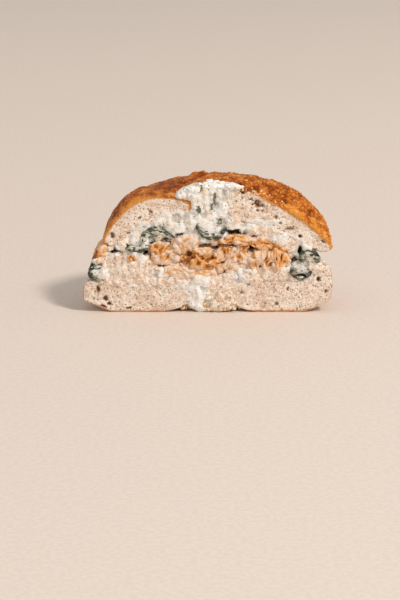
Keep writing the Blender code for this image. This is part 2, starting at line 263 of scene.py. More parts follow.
crumbLook = {
    "pale": (0.97, 0.85, 0.73),
    "warm": (0.76, 0.55, 0.41),
    # the dark of the holes in the crumb, painted shade
    "pore": (0.26, 0.12, 0.05),
    "cream": (0.86, 0.81, 0.75),
}
crustLook = {
    "gold": (0.74, 0.29, 0.048),
    "amber": (0.52, 0.145, 0.017),
    "brown": (0.35, 0.080, 0.007),
    "burnt": (0.19, 0.038, 0.004),
    "line": (0.66, 0.27, 0.05),
    # pale colour of the dots painted on the crust as glints of light
    "paintedGlint": (0.95, 0.68, 0.40),
    "floury": (0.80, 0.55, 0.31),
}
poreShape = (  # cell size, share of the cells with a hole, shift of the pattern, depth, darkness of the shade painted in the hole
    (1.5, 0.60, 0, 0.55, 0.42),
    (3.1, 0.34, 4, 0.95, 0.70),
    (7.0, 0.08, 9, 1.80, 1.00),
)


def breadFinish(name, palest, lineShare, patchy):
    look = Finish(name, {"IOR": 1.40, "Specular IOR Level": 0.12})
    crumb, gold, pitShade = look.mark("crumb"), look.mark("gold"), look.mark("pitShade")
    cream, lumps = look.mark("cream"), look.mark("lumps")

    fine = look.clouds(1.2, 4, 0.7)
    broad = look.clouds(7, 3, 0.5, 0.3)
    # dots for pores too small to model; their dark is painted shade
    poreShadeDots = look.dots((1.15, 0.11), (0.34, 0.16), (2.2, 0.7), (0.38, 0.50))
    dust = look.fade(look.cells(0.85, 0.31), 0.36, 0.14)
    airy = look.fade(broad * 0.4 + fine * 0.6, 0.39, 0.59)
    bread = look.mix(airy, crumbLook["warm"], crumbLook["pale"])
    # the holes and the pore dots are painted the dark pore colour as shade
    holes = pitShade + poreShadeDots + dust * 0.36
    bread = look.mix(look.fade(holes, 0.05, 1.0), bread, crumbLook["pore"])
    spread = look.fade(cream + (fine - 0.5) * 0.6, 0.35, 0.65)
    bread = look.mix(spread, bread, crumbLook["cream"])

    blots = look.clouds(4.0, 5, 0.65, 1.7)
    mottle = (blots - 0.5) * 1.3 + (fine - 0.5) * 0.9 + (lumps - 0.5) * 1.4
    toast = gold + mottle * patchy
    crust = look.mix(look.fade(toast, 0.0, 0.36), crustLook["burnt"], crustLook["brown"])
    crust = look.mix(look.fade(toast, 0.28, 0.64), crust, crustLook["amber"])
    crust = look.mix(look.fade(toast, 0.64, 1.10), crust, palest)
    spots = look.dots((1.7, 0.9), (0.30, 0.12), (5, 2.9), (0.42, 0.56))
    crust = look.mix(spots * 0.7, crust, crustLook["burnt"])
    # small pale dots painted on the crust as glints of light
    paintedGlints = look.dots((1.5, 1.9), (0.26, 0.12), (6, 6.1), (0.47, 0.58))
    crust = look.mix(paintedGlints * 0.8, crust, crustLook["paintedGlint"])
    inside = look.fade(crumb, 0.15, 0.6)
    colour = look.mix(inside, crust, bread)
    line = look.fade(crumb, 0.02, 0.25) * look.fade(crumb, 1.0, 0.45)
    colour = look.mix(line * lineShare, colour, crustLook["line"])
    shine = look.fade(blots, 0.3, 0.7, 0.24, 0.46)
    height = fine * 0.6 + look.clouds(0.5, 2, 0.6) * 0.3 - dust * 0.25
    look.give(
        Base_Color=colour,
        Roughness=shine * (1 - inside) + inside * 0.82,
        Normal=look.bump(height, 1.0, 0.9),
    )
    return look


def breadShape(item, shape, crustTree, cheeseTree, crustShape):
    seed, sliceSide = shape["seed"], shape["sliceSide"]

    def move(q, n):
        front = onCut(q, n, 1.2, 0.8, 0.4)
        skin = apart(crustTree, q) - spot(q, shape["thick"])
        edge = ease(skin + 0.22 * wave(q, 1.5, seed), *shape["edge"])
        sliced = (1 - front) * ease(sliceSide * n.z + 0.10 * wave(q, 2.5, seed), 0.36, 0.66)
        crumb = max(front * edge, sliced) * shape["underside"](q)
        shift, pitShade, lumps, cream, gold = Vector(), 0.0, 0.5, 0.0, 0.6
        cheese = apart(cheeseTree, q)
        if crumb > 0:
            holes = [hollow(q, size, share, seed + extra) for size, share, extra, *_ in poreShape]
            holes[-1] = max(holes[-1], front * spot(q, shape["pits"]))  # these are large ones
            sink = sum(pore[3] * hole for pore, hole in zip(poreShape, holes))
            shade = sum(pore[4] * hole for pore, hole in zip(poreShape, holes))
            wander = 0.34 * wave(q, 6.5, seed) + 0.24 * wave(q, 2.2, seed + 1)
            wander += 0.16 * wave(q, 1.1)
            creamy = shape["fringe"] + 2.6 * wave(q, 4.5, 5) + 1.5 * wave(q, 1.4, 8) - cheese
            smeared = 3.2 * spot(q, shape["smears"]) + 1.5 * wave(q, 2.6, 11) + wave(q, 1.1, 12)
            cream = front * ease(max(creamy, smeared - 1.0), -0.2, 1.0)
            cream *= ease(skin, *shape["bare"])
            shift += n * crumb * (wander - sink * (1 - 0.85 * cream) + 0.40 * cream)
            # the holes' darkness here is painted shade
            pitShade = min(shade, 1.0) * crumb * (1 - cream)
        if crumb < 1:
            raised, lumps, gold = crustShape(q, n)
            shift += n * (1 - crumb) * raised
        # the walls swell against the cheese, so that no air is left between them
        shift += n * 0.45 * besideCut(q, n) * ease(1.6 - cheese, 0.0, 1.0) + shape["bend"](q)
        return shift, crumb, gold, pitShade, cream, lumps

    sculpt(item, ("crumb", "gold", "pitShade", "cream", "lumps"), move)


meatNodes = [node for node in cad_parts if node.startswith("meat")]
pepperNodes = [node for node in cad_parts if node.startswith("pepper")]

print("bagel halves")
topBread = looseCopy("bagel_top")
baseBread = looseCopy("bagel_base")
upperCheese = looseCopy("cheese_upper")
lowerCheese = looseCopy("cheese_lower")
upperTree, lowerTree = treeOf(upperCheese), treeOf(lowerCheese)

topShape = {
    "voxel": 0.46,
    "seed": 2.0,
    "sliceSide": -1,  # its sliced side looks down
    "underside": lambda q: 1.0,  # no browned edge there
    "bend": lambda q: Vector(),  # and no bend
    "swells": ((0.45, 8, 1.5), (0.18, 3.0, 2.5)),  # height, size, shift of the crust's waves
    "grain": 0.46,  # heights of the crust's grains and bubbles where it is roughest
    "bubble": 0.42,
    "blisters": (  # x, depth behind the cut, radius, height
        (-6.2, 25.0, 2.4, 1.5), (-1.8, 25.5, 2.8, 1.6), (-4.2, 24.5, 2.6, 0.7),
        (-13.0, 23.5, 3.0, 0.5), (11.5, 28.0, 3.2, 0.5), (21.0, 20.0, 2.4, 0.5),
        (30.5, 22.0, 2.6, 0.6), (38.0, 12.0, 2.2, 0.5), (-31.0, 18.0, 3.0, 0.4),
        (-20.0, 16.0, 3.4, 0.5), (-38.0, 9.0, 2.6, 0.4), (4.0, 31.0, 3.0, 0.4),
    ),
    "knob": (-6, 24),  # x and depth of the palest patch, round the largest blisters
    "edge": (0.10, 1.80),  # depths at the cut between which crust turns to crumb
    "fringe": 1.6,  # how far cream reaches over the crumb
    "bare": (0.8, 1.6),  # no cream this near to the crust
    "highest": 61.9,  # no blister stands above this
    "thick": (  # x, z, half width, half height, how much wider the crust is at the cut
        (-15.0, 54.2, 6.0, 3.0, 0.6), (-8.6, 50.5, 3.4, 4.2, 1.2), (-7.0, 46.0, 2.6, 3.0, 1.2),
    ),
    "pits": (  # x, z, half width, half height, strength on the cut face
        (-43.5, 36.5, 1.0, 1.5, 0.8), (-36.0, 37.0, 0.9, 0.8, 0.8), (-26.0, 47.5, 0.9, 0.7, 0.7),
        (-33.5, 38.6, 1.0, 2.0, 0.8), (24.5, 50.5, 2.0, 0.9, 0.7), (20.0, 53.0, 1.2, 0.6, 0.6),
        (33.5, 42.0, 0.9, 0.5, 0.7), (-31.0, 44.5, 0.8, 0.6, 0.6), (43.0, 36.0, 1.0, 0.5, 0.7),
        (38.0, 39.5, 2.4, 0.9, 0.6),
    ),
    "smears": (  # the same for cream
        (-14.0, 44.5, 8.0, 3.4, 1.0), (11.5, 55.5, 4.0, 3.0, 0.8), (23.0, 42.6, 10.0, 1.6, 0.8),
        (-27.0, 41.5, 4.0, 1.2, 0.8), (-34.0, 33.5, 4.5, 1.8, 0.8), (-9.0, 51.5, 3.5, 1.2, 0.6),
    ),
}


def isTopCrust(face):
    middle = face.calc_center_median()
    radius = math.hypot(middle.x, middle.y - cutY)
    torn = middle.x > 0 and radius < 15 and middle.y < cutY + 9
    return face.normal.z > -0.45 and face.normal.y > -0.9 and not torn


def topCrust(q, n):
    back = q.y - cutY
    rough = ease(q.x, -8, 12) * 0.72 + 0.28
    raised = waves(q, topShape["swells"])
    grains, fine = bead(q, 1.9, 3.3), bead(q, 1.0, 7.3)
    bubble = ease(wave(q, 3.4, 6.0), 0.05, 0.45)
    raised += rough * (topShape["grain"] * grains + topShape["bubble"] * bubble) + 0.18 * fine
    lumps = 0.5 + 0.5 * wave(q, 3.4, 6.0) + 0.4 * (grains - 0.6) * rough + 0.25 * (fine - 0.5)
    if n.z > 0.2:
        for x, deep, radius, height in topShape["blisters"]:
            gap = math.hypot(q.x - x, back - deep) / radius
            if gap < 2:
                raised += height * math.exp(-gap**2 * 1.5) * (1 + 0.35 * wave(q, 1.3, 9))
        raised = min(raised, topShape["highest"] - q.z)
    nearCut = 1 - ease(back, 0.5, 8.5 if q.x < 0 else 5.0)
    low = 1 - ease(q.z, 31, 46)
    knobX, knobDeep = topShape["knob"]
    fromKnob = (q.x - knobX) ** 2 + (back - knobDeep) ** 2
    gold = 0.41 + 0.16 * rough + 0.55 * nearCut * (1.25 - 0.85 * rough) + 0.48 * low
    gold += 0.24 * ease(q.x, 28, 44)  # the right end is paler
    gold += 0.30 * wave(q, 13, 4) + 0.22 * math.exp(-fromKnob / 90)
    return raised, lumps, gold


topHalf = grain(newPiece("bagel_top_half", topBread.copy()), topShape["voxel"], 3)
breadShape(topHalf, topShape, treeOf(topBread, isTopCrust), upperTree, topCrust)
topSkin = bmesh.new()
topSkin.from_mesh(topHalf.data)
toastedTop = breadFinish("toasted_top", crustLook["gold"], 0.75, 1.0)
finishPiece(topHalf, toastedTop, "crust", "bagel_top")


def brownUnderside(q):  # the crumb ends in a browned edge round the underside
    return ease(q.z + 0.5 * wave(q, 2.0, 8), 0.3, 1.5)


def baseBend(q):
    curl = ease(abs(q.x + 0.5), *baseShape["curl"]) * ease(6 - q.z, 0.0, 5.0)
    lip = baseShape["lip"] * ease(-q.x, 44, 54) * ease(q.z, 6, 11)
    inward = -baseShape["curlIn"] if q.x > 0 else baseShape["curlIn"]
    return Vector((inward * curl, 0, baseShape["curlUp"] * curl + lip))


baseShape = {
    "voxel": 0.46,
    "seed": 6.0,
    "sliceSide": 1,  # its sliced side looks up
    "underside": brownUnderside,
    "bend": baseBend,
    "curl": (42, 56),  # distances from the middle between which the ends leave the board
    "curlIn": 1.2,
    "curlUp": 1.8,
    "lip": 2.8,  # how much the left end's lip is raised
    "swells": ((0.40, 9, 4.5), (0.15, 2.6, 1.5)),
    "edge": (-0.25, 0.5),
    "fringe": 0.4,
    "bare": (-2.0, -1.0),
    "thick": (),
    "pits": (
        (-50.2, 9.5, 0.9, 1.0, 0.9), (-47.2, 6.4, 1.4, 1.1, 0.9), (-45.6, 3.8, 1.0, 0.9, 0.9),
        (-48.5, 1.9, 1.5, 1.0, 0.8), (-36.5, 1.8, 1.4, 0.6, 0.8), (51.5, 15.8, 1.2, 1.1, 1.0),
        (-26.0, 3.6, 0.8, 0.4, 0.6), (16.0, 9.4, 1.0, 0.7, 0.6), (27.0, 4.2, 0.6, 0.5, 0.5),
    ),
    "smears": (
        (-30.0, 13.2, 12.0, 1.6, 0.45), (-7.5, 9.5, 3.0, 4.5, 0.55), (48.0, 18.5, 3.5, 3.0, 0.6),
    ),
}


def isBaseCrust(face):
    return face.normal.y > -0.9 and face.normal.z < 0.35


def baseCrust(q, n):
    raised = waves(q, baseShape["swells"]) + 0.10 * bead(q, 1.4, 5.3)
    if n.z < -0.6:  # the underside stays flat
        raised *= 0.15
    lumps = 0.5 + 0.4 * wave(q, 3.0, 2.0)
    gold = 0.74 + 0.20 * wave(q, 11, 6) + 0.35 * ease(-n.z, 0.3, 0.8) - 0.12 * ease(q.z, 8, 20)
    return raised, lumps, gold


baseHalf = grain(newPiece("bagel_base_half", baseBread.copy()), baseShape["voxel"], 3)
breadShape(baseHalf, baseShape, treeOf(baseBread, isBaseCrust), lowerTree, baseCrust)
flouryBase = breadFinish("floury_base", crustLook["floury"], 0.3, 0.5)
finishPiece(baseHalf, flouryBase, "crumb", "bagel_base")

cheeseLook = {
    "white": (0.93, 0.90, 0.86),
    "butter": (0.87, 0.74, 0.58),
    "shade": (0.60, 0.55, 0.49),
    # near black painted into the gaps as shade
    "gap": (0.045, 0.022, 0.012),
    "wet": (0.42, 0.42, 0.37),
    "herb": (0.07, 0.08, 0.035),
}
cheeseShape = {
    "voxel": 0.48,
    "swell": 0.62,
    "lumps": ((0.95, 5.0, 1.2), (0.50, 2.2, 2.2), (0.28, 1.1, 3.2)),  # height, size, shift
    "rim": ((1.3, 9.0, 2), (0.7, 4.0, 5)),  # more of them round the rim
    "reach": 4.0,  # air up to this wide is closed between the cheese and its neighbours
    "closed": 0.75,  # and this share of it
    "gapDepth": 3.5,
    "gaps": (  # x, z, half width, half height, strength of the gaps at the cut, pushed back and painted dark as shade
        (-19.4, 34.6, 3.2, 1.1, 1.0), (-12.5, 37.0, 1.6, 0.6, 0.8), (13.5, 38.4, 5.6, 0.7, 1.0),
        (-42.0, 28.8, 3.2, 0.8, 1.0), (43.0, 29.4, 1.0, 1.6, 1.0), (43.5, 17.6, 1.6, 0.6, 0.8),
        (-39.0, 37.0, 1.0, 0.6, 0.6),
    ),
    "crumbly": (  # the same for crumb stuck to the cheese
        (15.0, 50.0, 5.6, 8.5, 1.2), (-36.0, 14.5, 16.0, 3.2, 1.2), (-16.0, 15.5, 9.0, 2.6, 1.1),
        (7.0, 11.0, 7.0, 7.0, 0.9), (31.0, 17.0, 13.0, 3.6, 1.2), (49.0, 22.0, 3.0, 5.0, 0.9),
        (-47.0, 24.0, 3.0, 4.0, 0.6), (4.0, 18.0, 9.0, 2.4, 0.8), (-25.0, 22.0, 5.0, 3.5, 0.75),
        (-38.0, 24.0, 10.0, 5.0, 0.52), (-30.0, 38.0, 8.0, 2.0, 0.50),
        (28.0, 39.0, 12.0, 3.0, 0.55),
        (-15.0, 43.0, 6.0, 2.0, 0.3), (-39.5, 35.5, 4.5, 4.5, 1.0), (12.0, 56.5, 3.0, 3.0, 0.8),
        (39.0, 32.0, 3.4, 3.4, 0.9), (-34.0, 19.5, 13.0, 2.2, 0.7),
    ),
    "herbs": (  # the same for smudges of herb and pepper
        (3.4, 54.0, 0.8, 3.5, 0.9), (2.0, 50.5, 0.8, 1.6, 0.8), (-3.7, 48.5, 1.3, 1.8, 0.9),
        (5.6, 43.0, 1.6, 2.0, 0.7), (-3.2, 57.5, 1.6, 0.8, 0.8), (-42.5, 22.0, 0.9, 4.5, 0.5),
        (-26.2, 18.5, 1.0, 1.3, 0.5), (-16.5, 17.2, 2.6, 0.5, 0.5), (33.0, 38.8, 2.0, 0.8, 0.7),
        (-21.0, 40.8, 3.0, 0.8, 0.6), (-9.0, 55.8, 1.4, 1.2, 0.6), (37.5, 16.5, 1.6, 1.0, 0.5),
        (-25.5, 36.5, 4.6, 2.4, 0.62), (45.5, 23.5, 3.0, 2.4, 0.60),
        (-40.5, 24.0, 3.4, 2.6, 0.40),
        (-28.0, 40.0, 4.0, 1.0, 0.50), (41.0, 27.0, 1.4, 3.0, 0.45), (-50.0, 20.5, 2.0, 3.0, 0.5),
    ),
}


def cheeseFinish():
    look = Finish("herb_cheese", {"IOR": 1.42, "Specular IOR Level": 0.4})
    dip, crumbs, herbs = look.mark("dip"), look.mark("crumbs"), look.mark("herbs")
    broad = look.clouds(5, 3, 0.6, 0.4)
    fine = look.clouds(1.3, 4, 0.65, 1.4)
    colour = look.mix(look.fade(broad, 0.34, 0.52), cheeseLook["butter"], cheeseLook["white"])
    colour = look.mix(look.fade(dip + (fine - 0.5) * 0.8, 0.46, 1.0), colour, cheeseLook["shade"])
    colour = look.mix(look.fade(fine, 0.58, 0.70) * 0.6, colour, cheeseLook["wet"])
    crumbly = look.mix(look.fade(fine, 0.42, 0.58), crumbLook["warm"], crumbLook["pale"])
    # the pores of the crumb stuck to the cheese are painted dark as shade
    pores = look.dots((1.05, 0.51), (0.36, 0.12), (2.2, 0.7), (0.42, 0.56))
    crumbly = look.mix(pores * 0.7, crumbly, crumbLook["pore"])
    colour = look.mix(look.fade(crumbs + (broad - 0.5) * 0.8, 0.36, 0.56), colour, crumbly)
    flecks = look.dots((1.9, 2.2), (0.24, 0.12), (4.0, 3.3), (0.50, 0.58))
    colour = look.mix(look.fade(herbs, 0.3, 0.7) * 0.5, colour, cheeseLook["wet"])
    smudges = look.fade(herbs + (fine - 0.5) * 2.4, 0.42, 0.85)
    colour = look.mix(flecks * 0.6 + smudges * 0.8, colour, cheeseLook["herb"])
    # the deepest dips and the gaps are painted near black as shade
    colour = look.mix(look.fade(dip + (fine - 0.5) * 0.5, 1.1, 1.4), colour, cheeseLook["gap"])
    look.give(
        Base_Color=colour,
        Roughness=look.fade(fine, 0.35, 0.65, 0.32, 0.60),
        Normal=look.bump(fine, 0.9, 0.8),
    )
    return look


aroundTree = treeOf(looseCopy(*meatNodes, *pepperNodes, "bagel_top", "bagel_base"))


def cheeseMove(q, n):
    back = q.y - cutY
    front = onCut(q, n, 1.5, 0.9, 0.3)
    top = ease(q.z, 52, 56)
    rim = ease(math.hypot(q.x, back), 38, 44) * (1 - front)
    lump = waves(q, cheeseShape["lumps"])
    drag = (0.6 + 0.4 * ease(-q.x, 10, 25)) * stretched(q, (2.2, 3, 7.0), 4.1) * front
    rise = cheeseShape["swell"] + lump * (0.8 + 0.2 * top) + drag + 0.3 * top - 0.2 * front
    shift = n * (rise + 0.35 * besideCut(q, n))
    level = math.hypot(n.x, n.z)
    shift += n * rim * waves(q, cheeseShape["rim"])
    if level > 0.2:  # soft cheese closes most of the air next to the filling and the bread
        way = Vector((n.x, 0, n.z)) / level
        reach = cheeseShape["reach"]
        _, faced, _, hit = aroundTree.ray_cast(q + way * 0.05, way, reach)
        if hit and faced.dot(way) < 0:
            fill = cheeseShape["closed"] * hit * ease(reach - hit, 0.0, 1.6)
            shift += way * (fill * ease(level, 0.2, 0.6))
    if q.z < 6:  # the lower plug sinks to the board
        shift.z -= 0.45 * (6 - q.z)
    # this mark paints shade into the dips between the lumps and into the gaps
    dip = min(0.5 - lump * 0.9 - drag * 0.9, 1.0)
    sink, crumbs, herbs = 0.0, 0.0, 0.0
    if back < 5:
        near = ease(5 - back, 0, 2)
        sink = front * spot(q, cheeseShape["gaps"])
        crumbs = near * spot(q, cheeseShape["crumbly"])
        herbs = near * spot(q, cheeseShape["herbs"])
    herbs = max(herbs, 0.35 * top * ease(wave(q, 3.0, 9), 0.2, 0.5))
    shift.y += cheeseShape["gapDepth"] * sink
    if q.z > 56:  # the heap on the crown keeps its height
        shift.z = 0.3 * shift.z + 0.8 * wave(q, 3.6, 7)
    return shift, min(max(dip + 1.5 * sink, 0), 1.5), crumbs, herbs


print("cheese")
herbCheese = cheeseFinish()
cheeseSkin = bmesh.new()
for name, node, bm in (
    ("cheese_upper_layer", "cheese_upper", upperCheese),
    ("cheese_lower_layer", "cheese_lower", lowerCheese),
):
    layer = grain(newPiece(name, bm), cheeseShape["voxel"], 2)
    sculpt(layer, ("dip", "crumbs", "herbs"), cheeseMove)
    cheeseSkin.from_mesh(layer.data)
    finishPiece(layer, herbCheese, "cheese", node)

chickenLook = {
    "pale": (0.84, 0.66, 0.53),
    "peach": (0.85, 0.55, 0.33),
    "orange": (0.80, 0.35, 0.085),
    "rust": (0.30, 0.085, 0.016),
    # near black painted into hollows, grooves and pocks as shade
    "gap": (0.07, 0.02, 0.009),
}
chickenShape = {
    "voxel": 0.36,
    "turning": 40,  # degrees by which the strands wander from their lean
    "hollowDepth": 1.5,
    "slices": {  # swell, coarse relief, strand relief, lean of the strands, slant, shift in x
        "meat_top_left": (1.5, 0.60, 0.45, 60, 0.12, 0),
        "meat_top_middle": (0.9, 0.50, 0.50, 2, 0, 0),
        "meat_top_right": (1.3, 0.85, 0.60, -35, 0, 0),
        "meat_left": (1.6, 1.10, 0.65, 50, 0, 0),
        "meat_middle_left": (1.6, 1.10, 0.65, 15, 0, 0),
        "meat_middle_right": (1.4, 0.90, 0.60, 65, 0, 0),
        "meat_right": (1.6, 1.00, 0.70, 80, 0, 0),
        "meat_bottom": (1.1, 0.45, 0.40, -4, 0, 0),
        "meat_left_bit": (0.2, 1.10, 0.50, -30, 0, 0),
        "meat_left_rim": (0.9, 1.10, 0.35, 80, 0.60, 1.3),
    },
    "seasoned": (  # x, z, half width, half height, strength of the seasoning at the cut
        (-22.6, 30.4, 4.6, 2.6, 1.0), (-19.0, 26.4, 2.2, 1.6, 0.8), (-25.6, 25.4, 1.6, 2.0, 0.7),
        (-23.7, 21.1, 2.5, 2.0, 0.8), (-6.0, 25.5, 5.0, 4.2, 1.0), (-52.5, 29.0, 2.0, 5.0, 2.0),
        (1.0, 24.0, 4.5, 3.5, 0.8), (9.7, 35.0, 8.0, 3.0, 0.55), (9.0, 30.5, 2.2, 3.0, 0.9),
        (17.0, 30.5, 2.6, 1.6, 0.8), (25.5, 32.0, 9.0, 2.6, 0.75), (33.5, 26.5, 3.8, 6.0, 0.8),
        (22.0, 25.5, 1.4, 4.0, 0.6), (-50.0, 27.8, 1.8, 1.6, 0.8), (-34.5, 25.5, 3.0, 2.0, 0.7),
        (-49.5, 33.0, 3.0, 1.4, 1.6), (14.5, 27.0, 1.4, 3.0, 0.5), (-8.0, 28.0, 1.6, 1.2, 1.5),
        (5.5, 22.5, 1.5, 3.0, 0.6), (28.0, 24.0, 1.2, 3.0, 0.7),
    ),
    "hollows": (  # the same for hollows, pushed back and painted dark as shade
        (-26.6, 27.6, 0.7, 3.0, 0.8), (-17.6, 30.5, 1.0, 1.6, 0.6), (-25.0, 21.6, 0.9, 0.7, 0.9),
        (-19.4, 34.2, 3.0, 0.9, 1.1),
        (-8.8, 27.4, 1.7, 1.8, 0.8), (-12.5, 24.0, 1.5, 0.9, 1.0), (-0.9, 32.2, 3.6, 1.3, 0.8),
        (8.5, 31.9, 8.5, 0.6, 1.1), (2.6, 27.8, 1.0, 3.0, 0.6), (7.0, 23.5, 1.4, 0.7, 0.9),
        (28.3, 29.8, 2.6, 0.8, 0.9), (24.6, 21.1, 1.1, 1.6, 1.0), (29.2, 23.0, 0.9, 1.2, 0.8),
        (36.8, 28.8, 1.0, 0.9, 0.7), (-14.2, 36.0, 3.0, 0.8, 0.7),
        (14.0, 24.4, 0.8, 1.2, 0.7), (33.5, 31.8, 1.2, 0.6, 0.7),
        (19.0, 29.0, 0.8, 2.0, 0.6), (-3.5, 29.6, 1.6, 0.6, 0.6),
    ),
}


def chickenFinish():
    look = Finish("seasoned_chicken", {"IOR": 1.45, "Specular IOR Level": 0.5})
    rub, deep, strand = look.mark("rub"), look.mark("deep"), look.mark("strand")
    fine = look.clouds(0.9, 4, 0.7, 0.6)
    blots = look.clouds(2.2, 4, 0.6, 2.6)
    tone = rub + (blots - 0.5) * 2.5 + (fine - 0.5) * 1.6 - (strand - 0.5) * 0.8
    colour = look.mix(look.fade(tone, 0.0, 0.6), chickenLook["pale"], chickenLook["peach"])
    colour = look.mix(look.fade(tone, 0.45, 1.05), colour, chickenLook["orange"])
    colour = look.mix(look.fade(tone, 1.10, 1.55), colour, chickenLook["rust"])
    dust = look.dots((1.1, 4.31), (0.34, 0.12), (2.5, 5.7), (0.46, 0.58))
    colour = look.mix(dust * 0.75, colour, chickenLook["rust"])
    # hollows, grooves and pocks are painted dark as shade
    dark = look.fade(deep + (fine - 0.5) * 0.9, 0.30, 1.05)
    colour = look.mix(dark, colour, chickenLook["gap"])
    look.give(
        Base_Color=colour,
        Roughness=look.fade(fine, 0.3, 0.7, 0.28, 0.54),
        Normal=look.bump(fine * 0.6 + strand * 0.4, 0.9, 0.8),
    )
    return look


def cutFlat(q, n, swell):  # sideways growth, and the cut's rounded rim drawn flat again
    back = max(q.y - cutY, 0.0)
    shift = Vector((n.x, 0.15 * n.y, n.z)) * swell
    shift.y -= 0.85 * back * ease(3.6 - back, 0.0, 1.8)
    return shift


def chickenMove(swell, coarse, relief, lean, slant, inward, middle, seed):
    shift = Vector((seed, -seed, 0.5 * seed))

    def move(q, n):
        local = q - middle
        turn = math.radians(lean + chickenShape["turning"] * wave(q, 6.0, seed))
        axis = Vector((math.cos(turn), 0.3, math.sin(turn))).normalized()
        squeezed = local - axis * (local.dot(axis) * 0.86)  # strands run along the axis
        strand = noise.noise(squeezed / 1.3 + shift) + 0.5 * noise.noise(squeezed / 0.7 - shift)
        partly = ease(wave(q, 4.2, seed + 2), -0.22, 0.20)
        pock = hollow(q, 1.7, 0.24, seed) + 0.8 * hollow(q, 3.0, 0.16, seed + 5)
        groove = (1 - ease(abs(wave(q, 3.4, seed) + 0.30 * strand), 0.0, 0.15)) * partly
        crag = 0.7 * wave(q, 4.0, seed) + 0.45 * wave(q, 1.7, seed + 1)
        front = ease(cutY + 2.5 - q.y, 0.0, 1.5)
        rise = coarse * (crag - 0.45 * groove) + relief * 1.7 * strand - 0.7 * pock
        out = n * rise + cutFlat(q, n, swell)
        out.x += slant * local.z + inward
        seasoned = 0.24 + 0.5 * (1 - front) + 0.25 * groove + 0.45 * pock
        dark = 0.0
        if front > 0:
            seasoned += front * spot(q + out, chickenShape["seasoned"])
            dark = front * spot(q + out, chickenShape["hollows"])
            out.y += chickenShape["hollowDepth"] * dark
        # the deep mark paints shade into the hollows, grooves and pocks
        dark = max(dark, 0.42 * groove * (0.45 + seasoned), 0.75 * pock)
        return out, seasoned, min(dark, 1.0), 0.5 + strand

    return move


print("chicken")
seasonedChicken = chickenFinish()
for count, (node, values) in enumerate(chickenShape["slices"].items()):
    bit = newPiece(node.replace("meat", "chicken"), looseCopy(node))
    grain(bit, chickenShape["voxel"], 2)
    corners = [Vector(corner) for corner in bit.bound_box]
    middle = (corners[0] + corners[6]) / 2
    sculpt(bit, ("rub", "deep", "strand"), chickenMove(*values, middle, 3.7 * count + 1.3))
    finishPiece(bit, seasonedChicken, "meat", node)

pepperLook = {
    "skin": (0.045, 0.052, 0.026),
    "flesh": (0.26, 0.26, 0.17),
    "glassy": (0.58, 0.56, 0.46),
    "cream": (0.70, 0.67, 0.60),
    # black for the skin's streaks, and painted shade in the hollows
    "black": (0.010, 0.011, 0.007),
}
pepperShape = {
    "voxel": 0.30,
    "hollowDepth": 1.6,
    "strips": {  # middle of the bend in x and z, its radius, the strip's thickness, shift in x
        "pepper_left_arch": (-23.2, 31.8, 7.6, 3.0, 0),
        "pepper_left_leaf": (-31.8, 38.4, 8.2, 3.0, 0),
        "pepper_middle_bowl": (2.2, 41.8, 6.2, 2.4, 0),
        "pepper_right_arch": (47.2, 25.2, 3.4, 2.5, 0),
        "pepper_right_fold": (43.4, 22.8, 5.0, 3.4, 0),
        "pepper_left_rim": (-51.8, 19.2, 3.1, 3.0, 1.6),
    },
    "creamy": (  # x, z, half width, half height, strength of the cream left on them
        (-29.5, 34.5, 3.0, 2.0, 0.9), (-31.5, 31.8, 4.5, 1.2, 0.8), (-22.0, 38.2, 2.6, 0.9, 0.7),
        (2.0, 38.4, 3.8, 2.0, 1.2), (47.0, 29.0, 2.0, 1.5, 0.6), (44.0, 20.3, 2.6, 1.0, 0.6),
        (-4.0, 42.0, 1.4, 2.0, 0.9), (7.6, 42.0, 1.2, 1.6, 0.7), (-25.5, 37.6, 2.4, 1.0, 0.6),
        (-50.6, 18.2, 2.6, 2.8, 1.0),
    ),
    "hollows": (  # the same for hollows, pushed back and painted black as shade
        (-19.4, 34.6, 3.0, 1.1, 1.0), (-33.0, 31.9, 2.6, 0.6, 0.7), (43.3, 30.0, 1.0, 1.8, 1.0),
        (46.5, 31.8, 2.8, 0.5, 0.9), (51.0, 29.0, 0.7, 2.4, 0.9), (43.5, 17.8, 2.2, 0.7, 0.9),
        (-53.5, 22.0, 1.2, 1.0, 0.7), (-6.0, 39.5, 1.2, 0.9, 0.6),
    ),
}


def pepperFinish():
    look = Finish("roasted_pepper", {"IOR": 1.45, "Coat Weight": 0.7, "Coat Roughness": 0.12})
    inner, film, deep = look.mark("inner"), look.mark("film"), look.mark("deep")
    fine = look.clouds(1.0, 4, 0.65, 5.6)
    streak = look.clouds(2.4, 3, 0.6, 4.6, (1, 0.3, 2.2))
    tone = inner + (streak - 0.5) * 1.4 + (fine - 0.5) * 0.8
    colour = look.mix(look.fade(tone, 0.10, 0.44), pepperLook["skin"], pepperLook["flesh"])
    colour = look.mix(look.fade(tone, 0.44, 0.80), colour, pepperLook["glassy"])
    colour = look.mix(look.fade(streak, 0.51, 0.43), colour, pepperLook["black"])
    creamy = look.fade(film + (fine - 0.5) * 1.6, 0.45, 0.70)
    colour = look.mix(creamy, colour, pepperLook["cream"])
    # the hollows are painted black as shade
    black = look.fade(deep + (fine - 0.5) * 0.6, 0.35, 0.7)
    colour = look.mix(black, colour, pepperLook["black"])
    look.give(
        Base_Color=colour,
        Roughness=look.fade(fine, 0.35, 0.65, 0.16, 0.42),
        Normal=look.bump(fine * 0.5 + streak * 0.5, 0.7, 0.7),
    )
    return look


